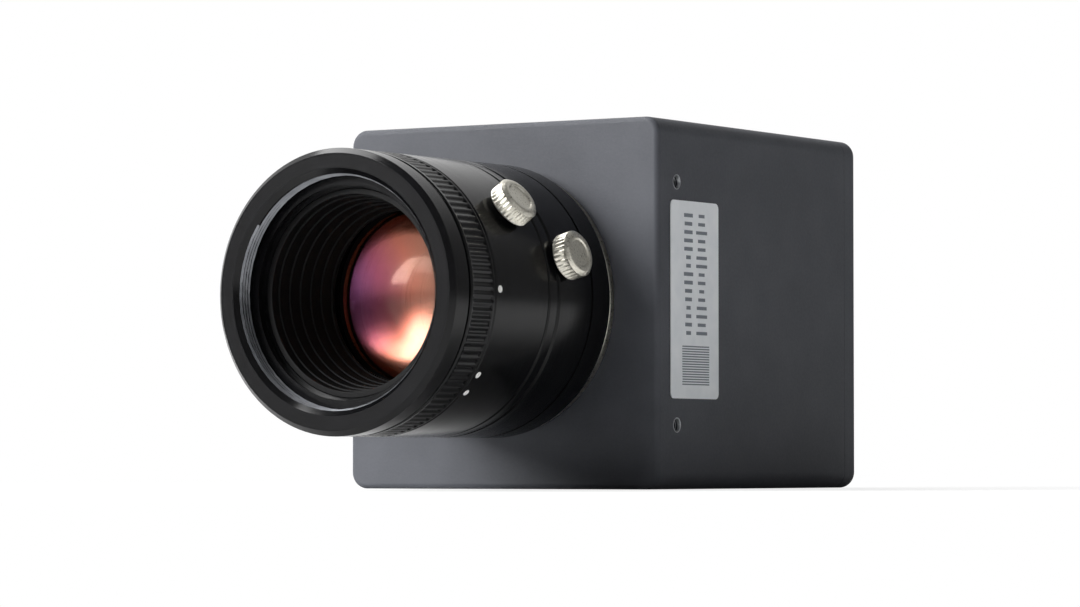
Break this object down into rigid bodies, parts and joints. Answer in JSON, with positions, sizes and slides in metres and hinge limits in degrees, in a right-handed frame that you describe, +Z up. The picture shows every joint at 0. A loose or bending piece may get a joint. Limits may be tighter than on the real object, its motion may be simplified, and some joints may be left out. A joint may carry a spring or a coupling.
{
  "type": "machine vision camera",
  "caption": "Cube machine vision camera with a fixed focal lens: dark metal housing, focus and iris rings with lock screws, network and round sockets behind.",
  "frame": {"origin": "mouth of the tripod thread, in the middle of the housing's bottom face", "axes": "+Z up, the lens points along -Y, the side with the label is +X"},
  "size_m": [0.0442, 0.089, 0.044],
  "materials": {
    "housing_paint": "satin dark grey paint",
    "lens_black": "black anodised",
    "baffle_black": "matt black anodised",
    "nickel": "nickel plated",
    "steel": "plain",
    "blade_steel": "blackened",
    "optical_glass": "coated",
    "holder_aluminium": "machined",
    "circuit_board": "solder mask",
    "package": "moulded",
    "gold": "gold flashed",
    "light_pipe": "clear",
    "label": "silver film"
  },
  "bodies": {
    "camera": {"board_connectors": "package", "board_screws": "steel", "cover_screws": "steel", "filter_glass": "optical_glass", "focus_ring_retainer": "lens_black", "front_standoffs": "steel", "holder_screws": "steel", "housing": "housing_paint", "image_sensor": "package", "index_ring": "lens_black", "interface_board": "circuit_board", "io_socket": "nickel", "io_socket_insert": "package", "io_socket_nut": "nickel", "io_socket_pins": "gold", "jack_contacts": "gold", "lens_barrel": "lens_black", "mount_ring": "nickel", "network_jack": "nickel", "processing_board": "circuit_board", "processor": "package", "rear_cover": "housing_paint", "rear_standoffs": "steel", "sensor_board": "circuit_board", "sensor_cover_glass": "optical_glass", "sensor_holder": "holder_aluminium", "status_lights": "light_pipe", "type_label": "label"},
    "focus_ring": {"focus_ring": "lens_black"},
    "focus_lock": {"focus_lock_screw": "nickel"},
    "optical_cell": {"optical_barrel": "lens_black", "focus_drive_pins": "steel", "front_retaining_ring": "baffle_black", "front_element": "optical_glass", "element_spacer": "baffle_black", "second_element": "optical_glass", "iris_base_ring": "baffle_black", "rear_barrel": "baffle_black", "rear_element": "optical_glass", "rear_retaining_ring": "baffle_black"},
    "iris_ring": {"iris_ring": "lens_black"},
    "iris_lock": {"iris_lock_screw": "nickel"},
    "iris_cam": {"iris_cam_ring": "baffle_black", "iris_drive_pin": "steel"},
    "iris_blade_1": {"iris_blade_1": "blade_steel"},
    "iris_blade_2": {"iris_blade_2": "blade_steel"},
    "iris_blade_3": {"iris_blade_3": "blade_steel"},
    "iris_blade_4": {"iris_blade_4": "blade_steel"},
    "iris_blade_5": {"iris_blade_5": "blade_steel"},
    "iris_blade_6": {"iris_blade_6": "blade_steel"}
  },
  "joints": [
    {"name": "focus_turn", "type": "hinge", "parent": "camera", "child": "focus_ring", "pos_m": [0, -0.042, 0.0225], "axis": [0, -1, 0], "range_deg": [0, 120]},
    {"name": "focus_slide", "type": "slide", "parent": "camera", "child": "optical_cell", "axis": [0, -1, 0], "range_m": [0, 0.002]},
    {"name": "focus_lock_turn", "type": "hinge", "parent": "focus_ring", "child": "focus_lock", "pos_m": [0.01474, -0.04165, 0.03282], "axis": [0.8192, 0, 0.5736], "range_deg": [0, 360]},
    {"name": "iris_turn", "type": "hinge", "parent": "camera", "child": "iris_ring", "pos_m": [0, -0.031, 0.0225], "axis": [0, -1, 0], "range_deg": [0, 54]},
    {"name": "iris_lock_turn", "type": "hinge", "parent": "iris_ring", "child": "iris_lock", "pos_m": [0.01744, -0.0334, 0.02695], "axis": [0.969, 0, 0.247], "range_deg": [0, 360]},
    {"name": "iris_cam_turn", "type": "hinge", "parent": "optical_cell", "child": "iris_cam", "pos_m": [0, -0.031, 0.0225], "axis": [0, -1, 0], "range_deg": [0, 54]},
    {"name": "blade_1_turn", "type": "hinge", "parent": "optical_cell", "child": "iris_blade_1", "pos_m": [0.0092, -0.033, 0.0225], "axis": [0, -1, 0], "range_deg": [0, 27]},
    {"name": "blade_2_turn", "type": "hinge", "parent": "optical_cell", "child": "iris_blade_2", "pos_m": [0.0046, -0.033, 0.03047], "axis": [0, -1, 0], "range_deg": [0, 27]},
    {"name": "blade_3_turn", "type": "hinge", "parent": "optical_cell", "child": "iris_blade_3", "pos_m": [-0.0046, -0.033, 0.03047], "axis": [0, -1, 0], "range_deg": [0, 27]},
    {"name": "blade_4_turn", "type": "hinge", "parent": "optical_cell", "child": "iris_blade_4", "pos_m": [-0.0092, -0.033, 0.0225], "axis": [0, -1, 0], "range_deg": [0, 27]},
    {"name": "blade_5_turn", "type": "hinge", "parent": "optical_cell", "child": "iris_blade_5", "pos_m": [-0.0046, -0.033, 0.01453], "axis": [0, -1, 0], "range_deg": [0, 27]},
    {"name": "blade_6_turn", "type": "hinge", "parent": "optical_cell", "child": "iris_blade_6", "pos_m": [0.0046, -0.033, 0.01453], "axis": [0, -1, 0], "range_deg": [0, 27]}
  ],
  "couplings": [
    {"joint": "focus_slide", "follows": "focus_turn", "m_per_rad": 0.00095493},
    {"joint": "iris_cam_turn", "follows": "iris_turn", "ratio": 1},
    {"joint": "blade_1_turn", "follows": "iris_turn", "ratio": 0.5},
    {"joint": "blade_2_turn", "follows": "iris_turn", "ratio": 0.5},
    {"joint": "blade_3_turn", "follows": "iris_turn", "ratio": 0.5},
    {"joint": "blade_4_turn", "follows": "iris_turn", "ratio": 0.5},
    {"joint": "blade_5_turn", "follows": "iris_turn", "ratio": 0.5},
    {"joint": "blade_6_turn", "follows": "iris_turn", "ratio": 0.5}
  ]
}
